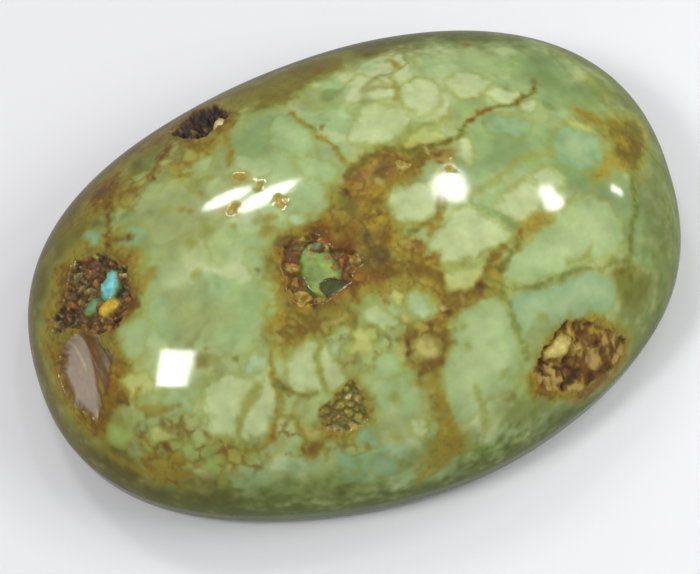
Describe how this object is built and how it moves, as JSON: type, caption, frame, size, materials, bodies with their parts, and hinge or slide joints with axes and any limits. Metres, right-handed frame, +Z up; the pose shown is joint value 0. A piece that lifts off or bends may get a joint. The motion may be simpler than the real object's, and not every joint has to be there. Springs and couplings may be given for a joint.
{
  "type": "polished variscite cabochon in matrix",
  "caption": "Domed, polished oval stone of green variscite with brown matrix veins, open rough hollows and a flat bevelled base to rest on.",
  "frame": {"origin": "centre of the stone's outline, on the plane of its flat base", "axes": "+X along the stone's length, +Y across it, +Z up through the dome"},
  "size_m": [0.0367, 0.026, 0.0105],
  "materials": {
    "variscite": "polished dome with rough brown hollows"
  },
  "bodies": {
    "root": {"variscite_stone": "variscite"}
  },
  "joints": []
}
